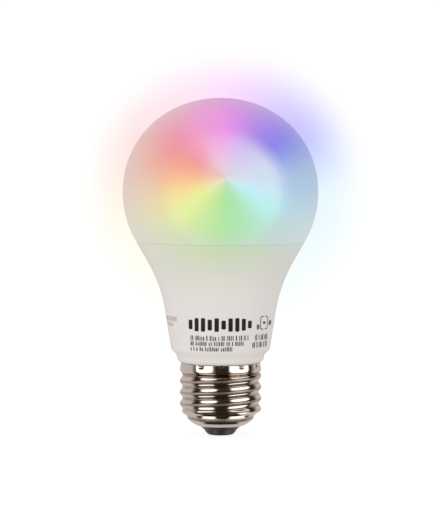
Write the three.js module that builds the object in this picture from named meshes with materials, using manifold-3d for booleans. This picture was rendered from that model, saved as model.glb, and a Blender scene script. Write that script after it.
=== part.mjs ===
// Smart LED light bulb: a frosted globe on a white waisted housing with an Edison screw base.
// Millimetres, +Z up along the bulb's axis. The origin is the centre of the contact's flat tip.
import * as THREE from "three";
import { mergeVertices } from "three/addons/utils/BufferGeometryUtils.js";
import Module from "manifold-3d";

const wasm = await Module();
wasm.setup();

// ---- Driving dimensions -------------------------------------------------------------------

const GLOBE_RADIUS = 31.25; // widest radius of the globe
const GLOBE_Z = 77.9; // height of its widest circle
const GLOBE_CROWN = 30.05; // height of the pole above that circle
const CROWN_POWER = 2.05; // 2 is an ellipse, more is squarer
const GLOBE_WALL = 1.3;
const SEAM_Z = 61.9; // where the globe meets the housing
const SEAM_GAP = 0.25;
const SKIRT_DEPTH = 3.0; // of the globe's skirt inside the housing's mouth

const SHOULDER_ANGLE = 29.6; // degrees from the axis, of the cone under the globe
const SHOULDER_LENGTH = 7.95; // along that cone
const WAIST_RADIUS = 46.4; // of the concave arc between the two cones
const TAPER_ANGLE = 8.9; // degrees from the axis, of the long lower cone
const TAPER_Z = 28.4; // lower end of that cone
const HOUSING_WALL = 1.5;
const LEDGE_Z = 38.0; // a ledge inside the housing carries the heat sink
const LEDGE = 1.2;
const NECK_OUTER = 11.3;
const NECK_INNER = 10.1;
const NECK_BOTTOM_Z = 10.6;

const FIT = 0.2; // clearance between nested shells
const TOUCH = 0.02; // clearance between faces that rest on each other

const THREAD_CREST = 13.05; // E26 screw: crest radius, depth and pitch (7 turns to the inch)
const THREAD_DEPTH = 0.85;
const THREAD_FULLNESS = 0.12; // 0 is a plain cosine, more makes fuller crests
const THREAD_PITCH = 25.4 / 7;
const THREAD_CREST_Z = 17.4; // height of a crest on the -X side
const THREAD_FOOT_Z = 5.8;
const THREAD_RUN_OUT = 2.4; // how much higher the thread starts at the front than at the sides
const BELL_RADIUS = 10.6; // the bare shell where the thread runs out
const BAND_FOOT_Z = 20.9;
const BAND_RADIUS = 13.08;
const BAND_TAPER = 0.12; // how much narrower the band gets per millimetre of height
const SHELL_TOP_Z = 23.4;
const SHEET = 0.35; // thickness of the shell's metal

const SINK_WALL = 1.2;
const SINK_PLATE = 1.4;
const SINK_TOP_Z = 54.9;
const PAD_THICK = 0.3;
const PAD_Z = SINK_TOP_Z + TOUCH;
const BOARD_THICK = 1.4;
const BOARD_RADIUS = 20.6;
const BOARD_Z = PAD_Z + PAD_THICK + TOUCH;
const BOARD_TOP_Z = BOARD_Z + BOARD_THICK;
const LED_Z = BOARD_TOP_Z + TOUCH;
const OUTER_RING = 17.3; // radius of the ring of white LEDs and screws
const INNER_RING = 12.0; // radius of the ring of colour LEDs
const RING_STEPS = 12;
const SCREW_STEPS = [3, 7, 11]; // places in the outer ring taken by screws

const DRIVER_THICK = 1.2;
const DRIVER_FACE = DRIVER_THICK / 2 + TOUCH; // where parts rest on either face of the driver board
const RADIO_Y = 0.75; // back face of the radio board
const RADIO_THICK = 0.8;
const RADIO_FACE = RADIO_Y + RADIO_THICK + TOUCH;
const RADIO_TOP_Z = 66.5;
const PIN_COUNT = 5;
const PIN_SPACING = 2.54;
const PIN_SIDE = 0.64;
const PIN_Y = -1.9;

const ROUND = 40; // sides of the large turned pieces
const SMALL_ROUND = 16; // sides of the small ones

const deg = THREE.MathUtils.degToRad;

// ---- Materials ----------------------------------------------------------------------------

const plastic = (color, roughness) => ({ color, roughness, metalness: 0 });
const metal = (color, roughness) => ({ color, roughness, metalness: 1 });
const FROSTED = plastic("#e6e3e0", 0.45);
const HOUSING_WHITE = plastic("#e2dfdc", 0.4);
const SILICONE = plastic("#e9e9e4", 0.7);
const ALUMINIUM = metal("#b9bcc0", 0.4);
const PAD_GREY = plastic("#9aa0a6", 0.8);
const MASK_WHITE = plastic("#f0f0ee", 0.5);
const MASK_GREEN = plastic("#1f5a38", 0.45);
const MASK_BLACK = plastic("#1c1f24", 0.45);
const LED_WHITE = plastic("#efe7b4", 0.5);
const LED_COLOUR = plastic("#f2f2f0", 0.4);
const STEEL = metal("#a8a8a8", 0.35);
const TINNED = metal("#c4c4c0", 0.3);
const EPOXY_BLACK = plastic("#141414", 0.55);
const NYLON_BLACK = plastic("#1d1d1f", 0.5);
const FERRITE = plastic("#3a3a3d", 0.7);
const BOBBIN = plastic("#2a2320", 0.5);
const COPPER = metal("#b5653a", 0.35);
const GOLD = metal("#d1b05c", 0.3);
const SLEEVE = plastic("#22304f", 0.4);
const SLEEVE_BLACK = plastic("#1a1b1f", 0.4);
const FILM_YELLOW = plastic("#c9a227", 0.45);
const DISC_BLUE = plastic("#2b5a8a", 0.45);
const RESISTOR_GREEN = plastic("#5d7f78", 0.5);
const WIRE_RED = plastic("#a8231f", 0.5);
const NICKEL = metal("#c9bbae", 0.12);
const GLAZE_BLACK = plastic("#17181a", 0.25);
const BRASS = metal("#c8b98f", 0.3);

// ---- Shape helpers ------------------------------------------------------------------------

const root = new THREE.Group();

function add(name, geometry, look) {
  const mesh = new THREE.Mesh(geometry, new THREE.MeshStandardMaterial(look));
  mesh.name = name;
  root.add(mesh);
}

// A profile of [radius, height] points turned about Z: outwards along undersides, up outer
// walls. A profile that stays off the axis is closed on itself.
function turned(profile, sides = ROUND) {
  const closed = profile[0][0] === 0 ? profile : [...profile, profile[0]];
  const points = closed.map(([r, z]) => new THREE.Vector2(r, z));
  return new THREE.LatheGeometry(points, sides).rotateX(Math.PI / 2);
}

function rod(radius, low, high, sides = SMALL_ROUND) {
  return turned([[0, low], [radius, low], [radius, high], [0, high]], sides);
}

// A box from its low corner to its high corner.
function box(low, high) {
  const size = high.map((v, i) => v - low[i]);
  const middle = high.map((v, i) => (v + low[i]) / 2);
  return new THREE.BoxGeometry(...size).translate(...middle);
}

// A chip that narrows a little towards its top, standing on z 0.
function chip(width, depth, height, draft = 0.1) {
  const geometry = new THREE.BoxGeometry(width, depth, height).translate(0, 0, height / 2);
  const position = geometry.getAttribute("position");
  for (let i = 0; i < position.count; i++) {
    if (position.getZ(i) < height / 2) continue;
    position.setX(i, position.getX(i) - Math.sign(position.getX(i)) * draft);
    position.setY(i, position.getY(i) - Math.sign(position.getY(i)) * draft);
  }
  return geometry;
}

function roundedRectangle(width, depth, radius) {
  const [x, y] = [width / 2 - radius, depth / 2 - radius];
  const shape = new THREE.Shape();
  [[x, y], [-x, y], [-x, -y], [x, -y]].forEach(([cx, cy], i) => {
    shape.absarc(cx, cy, radius, (i * Math.PI) / 2, ((i + 1) * Math.PI) / 2);
  });
  return shape;
}

function prism(shape, low, high, curveSegments = 4) {
  const options = { depth: high - low, bevelEnabled: false, curveSegments };
  return new THREE.ExtrudeGeometry(shape, options).translate(0, 0, low);
}

// A flat plate of an outline drawn in X and Z, from y towards +Y.
function uprightPlate(shape, y, thick) {
  return prism(shape, 0, thick).rotateX(Math.PI / 2).translate(0, y + thick, 0);
}

// The outline of a strip of even width along a line of square corners.
function strip(line, width) {
  const normal = (a, b) => {
    const length = Math.hypot(b[0] - a[0], b[1] - a[1]);
    return [(a[1] - b[1]) / length, (b[0] - a[0]) / length];
  };
  const side = (s) =>
    line.map((p, i) => {
      const before = i > 0 ? normal(line[i - 1], p) : [0, 0];
      const after = i < line.length - 1 ? normal(p, line[i + 1]) : [0, 0];
      const half = (s * width) / 2;
      return new THREE.Vector2(p[0] + half * (before[0] + after[0]), p[1] + half * (before[1] + after[1]));
    });
  return new THREE.Shape([...side(-1), ...side(1).reverse()]);
}

// A round wire through the given points.
function wire(points, radius, steps) {
  const path = new THREE.CatmullRomCurve3(points.map((p) => new THREE.Vector3(...p)), false, "centripetal");
  const section = new THREE.Shape(
    arc(7, 0, 1.75 * Math.PI, (a) => new THREE.Vector2(radius * Math.cos(a), radius * Math.sin(a))),
  );
  return new THREE.ExtrudeGeometry(section, { steps, extrudePath: path, bevelEnabled: false });
}

function arc(count, from, to, point) {
  return Array.from({ length: count + 1 }, (_, i) => point(from + ((to - from) * i) / count));
}

function solid(geometry) {
  const plain = geometry.clone();
  plain.deleteAttribute("normal");
  plain.deleteAttribute("uv");
  const merged = mergeVertices(plain, 1e-4);
  const index = merged.index.array;
  const kept = [];
  for (let i = 0; i < index.length; i += 3) {
    const [a, b, c] = index.slice(i, i + 3);
    if (a !== b && b !== c && c !== a) kept.push(a, b, c);
  }
  const vertProperties = new Float32Array(merged.attributes.position.array);
  return new wasm.Manifold(new wasm.Mesh({ numProp: 3, vertProperties, triVerts: new Uint32Array(kept) }));
}

function fromSolid(made) {
  const mesh = made.getMesh();
  return new THREE.BufferGeometry()
    .setAttribute("position", new THREE.BufferAttribute(new Float32Array(mesh.vertProperties), 3))
    .setIndex(new THREE.BufferAttribute(new Uint32Array(mesh.triVerts), 1));
}

const join = (first, ...rest) => fromSolid(rest.reduce((a, g) => a.add(solid(g)), solid(first)));
const cut = (first, ...rest) => fromSolid(rest.reduce((a, g) => a.subtract(solid(g)), solid(first)));

// ---- Outline of globe and housing ---------------------------------------------------------

const shoulder = deg(SHOULDER_ANGLE);
const taper = deg(TAPER_ANGLE);
const globeRim = [GLOBE_RADIUS * Math.cos(shoulder), GLOBE_Z - GLOBE_RADIUS * Math.sin(shoulder)];
const waistTop = [
  globeRim[0] - SHOULDER_LENGTH * Math.sin(shoulder),
  globeRim[1] - SHOULDER_LENGTH * Math.cos(shoulder),
];
const waistCentre = [
  waistTop[0] + WAIST_RADIUS * Math.cos(shoulder),
  waistTop[1] - WAIST_RADIUS * Math.sin(shoulder),
];

// The three stretches of the outline, moved inwards by a depth.
const onShoulder = (z, depth = 0) => [
  globeRim[0] - (globeRim[1] - z) * Math.tan(shoulder) - depth / Math.cos(shoulder),
  z,
];
const onWaist = (a, depth = 0) => [
  waistCentre[0] - (WAIST_RADIUS + depth) * Math.cos(a),
  waistCentre[1] + (WAIST_RADIUS + depth) * Math.sin(a),
];
const onTaper = (z, depth = 0) => {
  const [r, top] = onWaist(taper);
  return [r - (top - z) * Math.tan(taper) - depth / Math.cos(taper), z];
};
const waistAngle = (z, depth) => Math.asin((z - waistCentre[1]) / (WAIST_RADIUS + depth));
const waistLine = (depth, to = shoulder) => arc(5, taper, to, (a) => onWaist(a, depth));

// ---- Enclosure ----------------------------------------------------------------------------

// The globe's wall, moved inwards by a depth, from its rim up to just short of the pole.
function globeLine(depth) {
  const reach = GLOBE_RADIUS - depth;
  const lower = arc(3, -shoulder, 0, (a) => [reach * Math.cos(a), GLOBE_Z + reach * Math.sin(a)]);
  const upper = arc(9, 0, Math.PI / 2, (a) => [
    reach * Math.cos(a) ** (2 / CROWN_POWER),
    GLOBE_Z + (GLOBE_CROWN - depth) * Math.sin(a) ** (2 / CROWN_POWER),
  ]);
  return [...lower, ...upper.slice(1, -1)];
}

function diffuserDome() {
  const rim = SEAM_Z + SEAM_GAP / 2;
  const foot = SEAM_Z - SKIRT_DEPTH;
  const outside = HOUSING_WALL + FIT;
  const inside = outside + 1.1;
  return turned([
    [0, GLOBE_Z + GLOBE_CROWN - GLOBE_WALL],
    ...globeLine(GLOBE_WALL).reverse(),
    onShoulder(rim, inside),
    onShoulder(foot, inside),
    onShoulder(foot, outside),
    onShoulder(rim, outside),
    onShoulder(rim),
    ...globeLine(0),
    [0, GLOBE_Z + GLOBE_CROWN],
  ]);
}

// The bead of silicone under the globe's skirt.
function diffuserSeal() {
  const top = SEAM_Z - SKIRT_DEPTH - 0.1;
  const foot = top - 1.5;
  const outside = HOUSING_WALL + 0.1;
  const [r] = onShoulder(foot, outside);
  return turned([
    [r - 1.2, foot],
    [r, foot],
    onShoulder(top, outside),
    [r - 0.2, top],
    [r - 1.0, top - 0.4],
  ]);
}

function housingShell() {
  const mouth = SEAM_Z - SEAM_GAP / 2;
  const onLedge = onTaper(LEDGE_Z, HOUSING_WALL);
  const shell = turned([
    [NECK_INNER, NECK_BOTTOM_Z],
    [NECK_OUTER, NECK_BOTTOM_Z],
    [NECK_OUTER, 20.7],
    [12.25, 21.4],
    [12.25, 23.6],
    [13.05, 23.6],
    [13.8, 24.3],
    [14.1, 25.9],
    [15.55, 27.5],
    onTaper(TAPER_Z),
    ...waistLine(0),
    onShoulder(mouth),
    onShoulder(mouth, HOUSING_WALL),
    ...waistLine(HOUSING_WALL).reverse(),
    onLedge,
    [onLedge[0] - LEDGE, LEDGE_Z],
    [13.9, 29.6],
    [NECK_INNER, 26.0],
  ]);
  return join(shell, ...boardGuides());
}

// Four ribs in the neck hold the edges of the driver board.
function boardGuides() {
  const gap = 0.15;
  const ribs = [];
  for (const side of [-1, 1]) {
    for (const face of [-1, 1]) {
      const [x, y] = [side * 9.7, face * (DRIVER_THICK / 2 + gap + 0.6)];
      ribs.push(box([x - 0.8, y - 0.6, 11.5], [x + 0.8, y + 0.6, 25]));
    }
  }
  return ribs;
}

// ---- Light engine -------------------------------------------------------------------------

const ringPlace = (radius, step) => {
  const a = (2 * Math.PI * step) / RING_STEPS;
  return { x: radius * Math.cos(a), y: radius * Math.sin(a), a };
};
const screwPlaces = SCREW_STEPS.map((step) => ringPlace(OUTER_RING, step));
const screwHoles = (radius, low, high) =>
  screwPlaces.map(({ x, y }) => rod(radius, low, high, 12).translate(x, y, 0));
const pinX = (i) => (i - (PIN_COUNT - 1) / 2) * PIN_SPACING;
const pinHoles = (side, low, high) =>
  Array.from({ length: PIN_COUNT }, (_, i) =>
    box([pinX(i) - side / 2, PIN_Y - side / 2, low], [pinX(i) + side / 2, PIN_Y + side / 2, high]),
  );
const wayThrough = (low, high) => box([-9.8, -3.6, low], [9.8, 2.8, high]);

function heatSinkCup() {
  const plate = SINK_TOP_Z - SINK_PLATE;
  const corner = SINK_TOP_Z - 0.6;
  const foot = LEDGE_Z + 0.05;
  const outside = HOUSING_WALL + FIT;
  const inside = outside + SINK_WALL;
  const outer = waistLine(outside, waistAngle(corner, outside));
  const cup = turned([
    [0, plate],
    ...waistLine(inside, waistAngle(plate, inside)).reverse(),
    onTaper(foot, inside),
    onTaper(foot, outside),
    ...outer,
    [outer.at(-1)[0] - 0.5, SINK_TOP_Z],
    [0, SINK_TOP_Z],
  ]);
  const [low, high] = [plate - 1, SINK_TOP_Z + 1];
  return cut(cup, wayThrough(low, high), ...screwHoles(1.25, low, high));
}

function thermalPad() {
  const [low, high] = [PAD_Z, PAD_Z + PAD_THICK];
  const sheet = rod(BOARD_RADIUS - 1.2, low, high, ROUND);
  return cut(sheet, wayThrough(low - 1, high + 1), ...screwHoles(1.6, low - 1, high + 1));
}

function ledBoard() {
  const [low, high] = [BOARD_Z - 1, BOARD_TOP_Z + 1];
  return cut(
    rod(BOARD_RADIUS, BOARD_Z, BOARD_TOP_Z, ROUND),
    box([-8.0, 0.35, low], [8.0, 2.1, high]),
    ...pinHoles(1.0, low, high),
    ...screwHoles(1.5, low, high),
  );
}

// A surface-mount LED: a draughted body with a round well in its top.
function ledPackage(width, depth, height, well) {
  return cut(chip(width, depth, height, 0.08), rod(well, height - 0.3, height + 1, 12));
}

function addLeds() {
  const steps = Array.from({ length: RING_STEPS }, (_, i) => i);
  const whiteSteps = steps.filter((i) => !SCREW_STEPS.includes(i));
  whiteSteps.forEach((step, i) => {
    const { x, y, a } = ringPlace(OUTER_RING, step);
    const led = ledPackage(2.8, 3.5, 0.7, 1.1).rotateZ(a).translate(x, y, LED_Z);
    add(`led_white_${i + 1}`, led, LED_WHITE);
  });
  for (let i = 0; i < RING_STEPS / 2; i++) {
    const { x, y, a } = ringPlace(INNER_RING, 2 * i + 1);
    const led = ledPackage(5.0, 5.0, 1.6, 2.0).rotateZ(a).translate(x, y, LED_Z);
    add(`led_rgb_${i + 1}`, led, LED_COLOUR);
  }
}

// A pan-head screw with a cross recess, its head standing on z 0.
function panScrew() {
  const body = turned(
    [[0, -3.6], [0.7, -3.6], [1.15, -3.0], [1.15, 0], [2.2, 0], [2.2, 0.6], [1.7, 1.1], [0, 1.35]],
    SMALL_ROUND,
  );
  return cut(body, box([-1.2, -0.22, 0.6], [1.2, 0.22, 2]), box([-0.22, -1.2, 0.6], [0.22, 1.2, 2]));
}

function addBoardScrews() {
  screwPlaces.forEach(({ x, y }, i) => {
    add(`board_screw_${i + 1}`, panScrew().translate(x, y, LED_Z), STEEL);
  });
}

// ---- Driver -------------------------------------------------------------------------------

function driverBoard() {
  const [narrow, wide, low, high] = [9.3, 12.8, 11.2, 52.6];
  const half = [[narrow, low], [narrow, 29], [wide, 33.5], [wide, high]];
  const outline = [...half, ...half.map(([x, z]) => [-x, z]).reverse()];
  const shape = new THREE.Shape(outline.map(([x, z]) => new THREE.Vector2(x, z)));
  return uprightPlate(shape, -DRIVER_THICK / 2, DRIVER_THICK);
}

// The header's plastic strip and its pins, which turn in to the board at their feet.
function headerStrip() {
  const half = (PIN_COUNT * PIN_SPACING) / 2;
  return cut(box([-half, -3.17, 49.6], [half, -DRIVER_FACE, 52.1]), ...pinHoles(PIN_SIDE + 0.06, 49, 53));
}

function headerPin(i) {
  const [x, half] = [pinX(i), PIN_SIDE / 2];
  return join(
    box([x - half, PIN_Y - half, 47.4], [x + half, PIN_Y + half, 58.4]),
    box([x - half, PIN_Y, 47.4], [x + half, -DRIVER_FACE, 47.4 + PIN_SIDE]),
  );
}

function boardSocket() {
  const half = (PIN_COUNT * PIN_SPACING) / 2;
  return cut(box([-half, -3.17, LED_Z], [half, -0.63, 59.2]), ...pinHoles(PIN_SIDE + 0.1, LED_Z - 1, 60));
}

function radioBoard() {
  const shape = new THREE.Shape([
    new THREE.Vector2(-7.5, 43),
    new THREE.Vector2(7.5, 43),
    new THREE.Vector2(7.5, RADIO_TOP_Z),
    new THREE.Vector2(-7.5, RADIO_TOP_Z),
  ]);
  return uprightPlate(shape, RADIO_Y, RADIO_THICK);
}

function radioShield() {
  return chip(12, 7.8, 1.9, 0.15).rotateX(-Math.PI / 2).translate(0, RADIO_FACE, 48.9);
}

// The aerial is a copper strip that runs up and down seven times.
function radioAerial() {
  const [spacing, low, high, runs] = [1.7, 59.6, 65.4, 7];
  const line = [];
  for (let i = 0; i < runs; i++) {
    const x = (i - (runs - 1) / 2) * spacing;
    line.push(...(i % 2 ? [[x, high], [x, low]] : [[x, low], [x, high]]));
  }
  return uprightPlate(strip(line, 0.7), RADIO_FACE, 0.1);
}

const TRANSFORMER = { y: -6.0, low: 34.4, high: 45.4, window: 1.8 };

// A ferrite frame with a leg up the middle.
function transformerCore() {
  const { y, low, high, window } = TRANSFORMER;
  const opening = (side) => {
    const [inner, outer] = [side * 1.7, side * 4.9];
    const [left, right] = [Math.min(inner, outer), Math.max(inner, outer)];
    return box([left, y - 4, low + window], [right, y + 4, high - window]);
  };
  return cut(box([-6.5, y - 2.5, low], [6.5, y + 2.5, high]), opening(-1), opening(1));
}

// A square tube round the middle leg with a flange at each end and feet to the board.
function transformerBobbin() {
  const { y, low, high, window } = TRANSFORMER;
  const [foot, top] = [low + window + 0.1, high - window - 0.1];
  const flange = (z) => box([-4.75, y - 4.9, z], [4.75, y + 4.9, z + 0.6]);
  const feet = [-3.6, 3.6].map((x) => box([x - 0.4, y + 4.5, foot], [x + 0.4, -DRIVER_FACE, foot + 0.6]));
  const tube = box([-2.3, y - 3.1, foot], [2.3, y + 3.1, top]);
  const body = join(tube, flange(foot), flange(top - 0.6), ...feet);
  return cut(body, box([-1.8, y - 2.6, foot - 1], [1.8, y + 2.6, top + 1]));
}

function transformerWinding() {
  const { y, low, high, window } = TRANSFORMER;
  const [foot, top] = [low + window + 0.75, high - window - 0.75];
  const coil = prism(roundedRectangle(8.9, 9.4, 1.4), foot, top).translate(0, y, 0);
  return cut(coil, box([-2.35, y - 3.15, foot - 1], [2.35, y + 3.15, top + 1]));
}

// A capacitor can standing along Z, with two legs that turn in to the board.
function canCapacitor({ x, y, low, high, radius, legsAt, spacing }) {
  const can = turned([
    [0, low],
    [radius - 0.3, low],
    [radius, low + 0.4],
    [radius, high - 0.4],
    [radius - 0.3, high],
    [0, high],
  ], 24).translate(x, y, 0);
  const legs = [-spacing / 2, spacing / 2].flatMap((dx) => {
    const [left, right] = [x + dx - 0.25, x + dx + 0.25];
    const end = legsAt > high ? high - 0.2 : low + 0.2;
    const [from, to] = [Math.min(end, legsAt - 0.25), Math.max(end, legsAt + 0.25)];
    return [
      box([left, y - 0.25, from], [right, y + 0.25, to]),
      box([left, y - 0.25, legsAt - 0.25], [right, -DRIVER_FACE, legsAt + 0.25]),
    ];
  });
  return join(can, ...legs);
}

// A gull-wing package lying on the back of the driver board.
function gullWing({ x, z, width, height, depth, leads, pitch }) {
  const body = chip(width, height, depth, 0.12).translate(0, 0, 0.1);
  const feet = [];
  for (const side of [-1, 1]) {
    for (let i = 0; i < leads; i++) {
      const along = (i - (leads - 1) / 2) * pitch;
      const [inner, outer] = [side * (height / 2 - 0.3), side * (height / 2 + 0.9)];
      const [low, high] = [Math.min(inner, outer), Math.max(inner, outer)];
      feet.push(box([along - 0.22, low, 0], [along + 0.22, high, 0.35]));
    }
  }
  return join(body, ...feet).rotateX(-Math.PI / 2).translate(x, DRIVER_FACE, z);
}

function filterInductor() {
  const drum = turned([
    [0, 14],
    [3.2, 14],
    [3.2, 15],
    [2.5, 15.2],
    [2.5, 21.6],
    [3.2, 21.8],
    [3.2, 22.8],
    [0, 22.8],
  ], 24).translate(0, 4.4, 0);
  const feet = [-2, 2].map((x) => box([x - 0.3, DRIVER_FACE, 14.1], [x + 0.3, 4.4, 14.6]));
  return join(drum, ...feet);
}

function fuseResistor() {
  const [y, z] = [2.1, 12.6];
  const body = turned([
    [0, -4.6],
    [0.3, -4.6],
    [0.3, -3.3],
    [1.25, -3.1],
    [1.3, -2.2],
    [1.1, -1.9],
    [1.1, 1.9],
    [1.3, 2.2],
    [1.25, 3.1],
    [0.3, 3.3],
    [0.3, 4.6],
    [0, 4.6],
  ], SMALL_ROUND).rotateY(Math.PI / 2).translate(0, y, z);
  const leg = (x) => box([x - 0.25, DRIVER_FACE, z - 0.25], [x + 0.25, y + 0.25, z + 0.25]);
  return join(body, leg(-4.5), leg(4.5));
}

function varistor() {
  const [x, y, z] = [-4.9, 2.4, 27.3];
  const disc = turned([[0, -1.2], [2.9, -1.2], [3.4, -0.6], [3.4, 0.6], [2.9, 1.2], [0, 1.2]], 24)
    .rotateX(Math.PI / 2)
    .translate(x, y, z);
  const leg = (dx) => box([x + dx - 0.3, DRIVER_FACE, z - 0.3], [x + dx + 0.3, y, z + 0.3]);
  return join(disc, leg(-1.6), leg(1.6));
}

// ---- Screw base ---------------------------------------------------------------------------

const smooth = (value, from, to) => THREE.MathUtils.smoothstep(value, from, to);

// The shell's outer radius at a height and an azimuth: a right-hand rounded thread that runs
// out at the foot, soonest at the front, under a plain band at the top.
function shellRadius(z, azimuth) {
  const phase = 2 * Math.PI * ((z - THREAD_CREST_Z) / THREAD_PITCH) - (azimuth - Math.PI);
  const wave = (Math.cos(phase) - THREAD_FULLNESS * Math.cos(2 * phase) + 1 + THREAD_FULLNESS) / 2;
  const root = THREAD_CREST - THREAD_DEPTH;
  const runOut = THREAD_FOOT_Z + THREAD_RUN_OUT * Math.max(-Math.sin(azimuth), 0);
  const slope = THREE.MathUtils.clamp((z - THREAD_FOOT_Z) / 2.1, 0, 1);
  const groove = BELL_RADIUS + (root - BELL_RADIUS) * slope;
  const faded = smooth(z, runOut, runOut + 1.6) * (1 - smooth(z, BAND_FOOT_Z - 1.3, BAND_FOOT_Z - 0.3));
  const thread = groove + THREAD_DEPTH * faded * wave;
  const straight = BAND_RADIUS - BAND_TAPER * Math.max(z - BAND_FOOT_Z, 0);
  const band = root + (straight - root) * smooth(z, BAND_FOOT_Z - 1, BAND_FOOT_Z);
  return Math.max(thread, band - 5 * (1 - smooth(z, 18, 19.2)));
}

function screwShell() {
  const sides = 32;
  const lip = [[6.75, 3.0], [8.0, 3.34], [9.0, 3.95], [9.8, 4.55], [10.5, 5.22]];
  const lipInside = [[6.75, 3.35], [7.9, 3.67], [8.8, 4.22], [9.55, 4.8], [10.17, 5.4]];
  const heights = [];
  for (let z = THREAD_FOOT_Z + 0.1; z < 20.6; z += THREAD_PITCH / 6) heights.push(z);
  heights.push(21.1, SHELL_TOP_Z - 0.3);
  const ring = (radiusAt, z) =>
    Array.from({ length: sides }, (_, i) => {
      const a = (2 * Math.PI * i) / sides;
      const r = radiusAt(a);
      return [r * Math.cos(a), r * Math.sin(a), z];
    });
  const top = BAND_RADIUS - BAND_TAPER * (SHELL_TOP_Z - BAND_FOOT_Z);
  const rings = [
    ...lip.map(([r, z]) => ring(() => r, z)),
    ...heights.map((z) => ring((a) => shellRadius(z, a), z)),
    ring(() => top - 0.12, SHELL_TOP_Z),
    ring(() => top - SHEET, SHELL_TOP_Z),
    ...heights.map((z) => ring((a) => shellRadius(z, a) - SHEET, z)).reverse(),
    ...lipInside.map(([r, z]) => ring(() => r, z)).reverse(),
  ];
  const index = [];
  rings.forEach((_, j) => {
    const next = (j + 1) % rings.length;
    for (let i = 0; i < sides; i++) {
      const after = (i + 1) % sides;
      const [a, b] = [j * sides + i, j * sides + after];
      const [c, d] = [next * sides + i, next * sides + after];
      index.push(a, b, d, a, d, c);
    }
  });
  return new THREE.BufferGeometry()
    .setAttribute("position", new THREE.Float32BufferAttribute(rings.flat(2), 3))
    .setIndex(index);
}

// A domed plug with a flange inside the shell and a hole for the contact's rivet.
function baseInsulator() {
  return turned([
    [1.3, 0.45],
    [3.0, 0.45],
    [3.1, 0.16],
    [3.9, 0.22],
    [4.65, 0.8],
    [5.07, 1.44],
    [5.6, 2.1],
    [6.4, 2.75],
    [6.55, 3.1],
    [6.55, 3.6],
    [7.4, 3.65],
    [7.4, 4.6],
    [6.3, 5.2],
    [1.3, 5.2],
  ], 28);
}

function centreContact() {
  return turned([
    [0, 0],
    [2.2, 0],
    [2.75, 0.1],
    [2.9, 0.38],
    [1.15, 0.4],
    [1.15, 5.22],
    [1.9, 5.26],
    [1.8, 5.7],
    [0.9, 6.3],
    [0, 6.4],
  ], 24);
}

// The insulated lead from the contact to the driver board.
function liveLead() {
  const y = DRIVER_FACE + 0.65;
  const line = [
    [0, 0, 6.45],
    [0.2, 0.3, 7.6],
    [3.4, 1.1, 9.2],
    [6.6, y, 10.9],
    [6.9, y, 12.4],
    [6.9, y, 15],
  ];
  return wire(line, 0.6, 28);
}

// The bare lead from the driver board, folded under the neck and up inside the shell.
function neutralLead() {
  const y = -DRIVER_FACE - 0.25;
  const line = [
    [-7.4, y, 15],
    [-7.4, y, 11.2],
    [-7.9, y - 0.05, 10.25],
    [-9.6, y - 0.1, 10.1],
    [-11.0, y - 0.15, 10.15],
    [-11.46, y - 0.2, 10.75],
    [-11.48, y - 0.2, 16.5],
  ];
  return wire(line, 0.18, 36);
}

// ---- Assembly -----------------------------------------------------------------------------

add("diffuser_dome", diffuserDome(), FROSTED);
add("diffuser_seal", diffuserSeal(), SILICONE);
add("housing_shell", housingShell(), HOUSING_WHITE);

add("heat_sink_cup", heatSinkCup(), ALUMINIUM);
add("thermal_pad", thermalPad(), PAD_GREY);
add("led_board", ledBoard(), MASK_WHITE);
addLeds();
addBoardScrews();

add("driver_board", driverBoard(), MASK_GREEN);
add("header_strip", headerStrip(), NYLON_BLACK);
for (let i = 0; i < PIN_COUNT; i++) add(`header_pin_${i + 1}`, headerPin(i), GOLD);
add("board_socket", boardSocket(), NYLON_BLACK);
add("wifi_board", radioBoard(), MASK_BLACK);
add("wifi_shield_can", radioShield(), TINNED);
add("wifi_antenna", radioAerial(), GOLD);
add("transformer_core", transformerCore(), FERRITE);
add("transformer_bobbin", transformerBobbin(), BOBBIN);
add("transformer_winding", transformerWinding(), COPPER);
const bulk = { x: 0, y: -5.4, low: 12, high: 25.8, radius: 4, legsAt: 26.9, spacing: 3.5 };
add("bulk_capacitor", canCapacitor(bulk), SLEEVE);
const output = { x: 9.9, y: -4.3, low: 40.2, high: 48.2, radius: 3.1, legsAt: 39.2, spacing: 2.5 };
add("output_capacitor", canCapacitor(output), SLEEVE_BLACK);
add("film_capacitor", box([-4.5, -5.6, 28.2], [4.5, -DRIVER_FACE, 33.4]), FILM_YELLOW);
const bridge = { x: 4.6, z: 28, width: 4.8, height: 3.9, depth: 1.5, leads: 2, pitch: 2.54 };
add("bridge_rectifier", gullWing(bridge), EPOXY_BLACK);
const controller = { x: -5.2, z: 37.2, width: 4.9, height: 3.9, depth: 1.4, leads: 4, pitch: 1.27 };
add("driver_ic", gullWing(controller), EPOXY_BLACK);
const regulator = { x: 5.2, z: 37.2, width: 6.5, height: 3.6, depth: 1.6, leads: 3, pitch: 2.3 };
add("regulator_ic", gullWing(regulator), EPOXY_BLACK);
add("filter_inductor", filterInductor(), FERRITE);
add("fuse_resistor", fuseResistor(), RESISTOR_GREEN);
add("varistor", varistor(), DISC_BLUE);

add("screw_shell", screwShell(), NICKEL);
add("base_insulator", baseInsulator(), GLAZE_BLACK);
add("centre_contact", centreContact(), BRASS);
add("live_lead", liveLead(), WIRE_RED);
add("neutral_lead", neutralLead(), TINNED);

export default root;
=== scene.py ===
import math
import random

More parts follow.
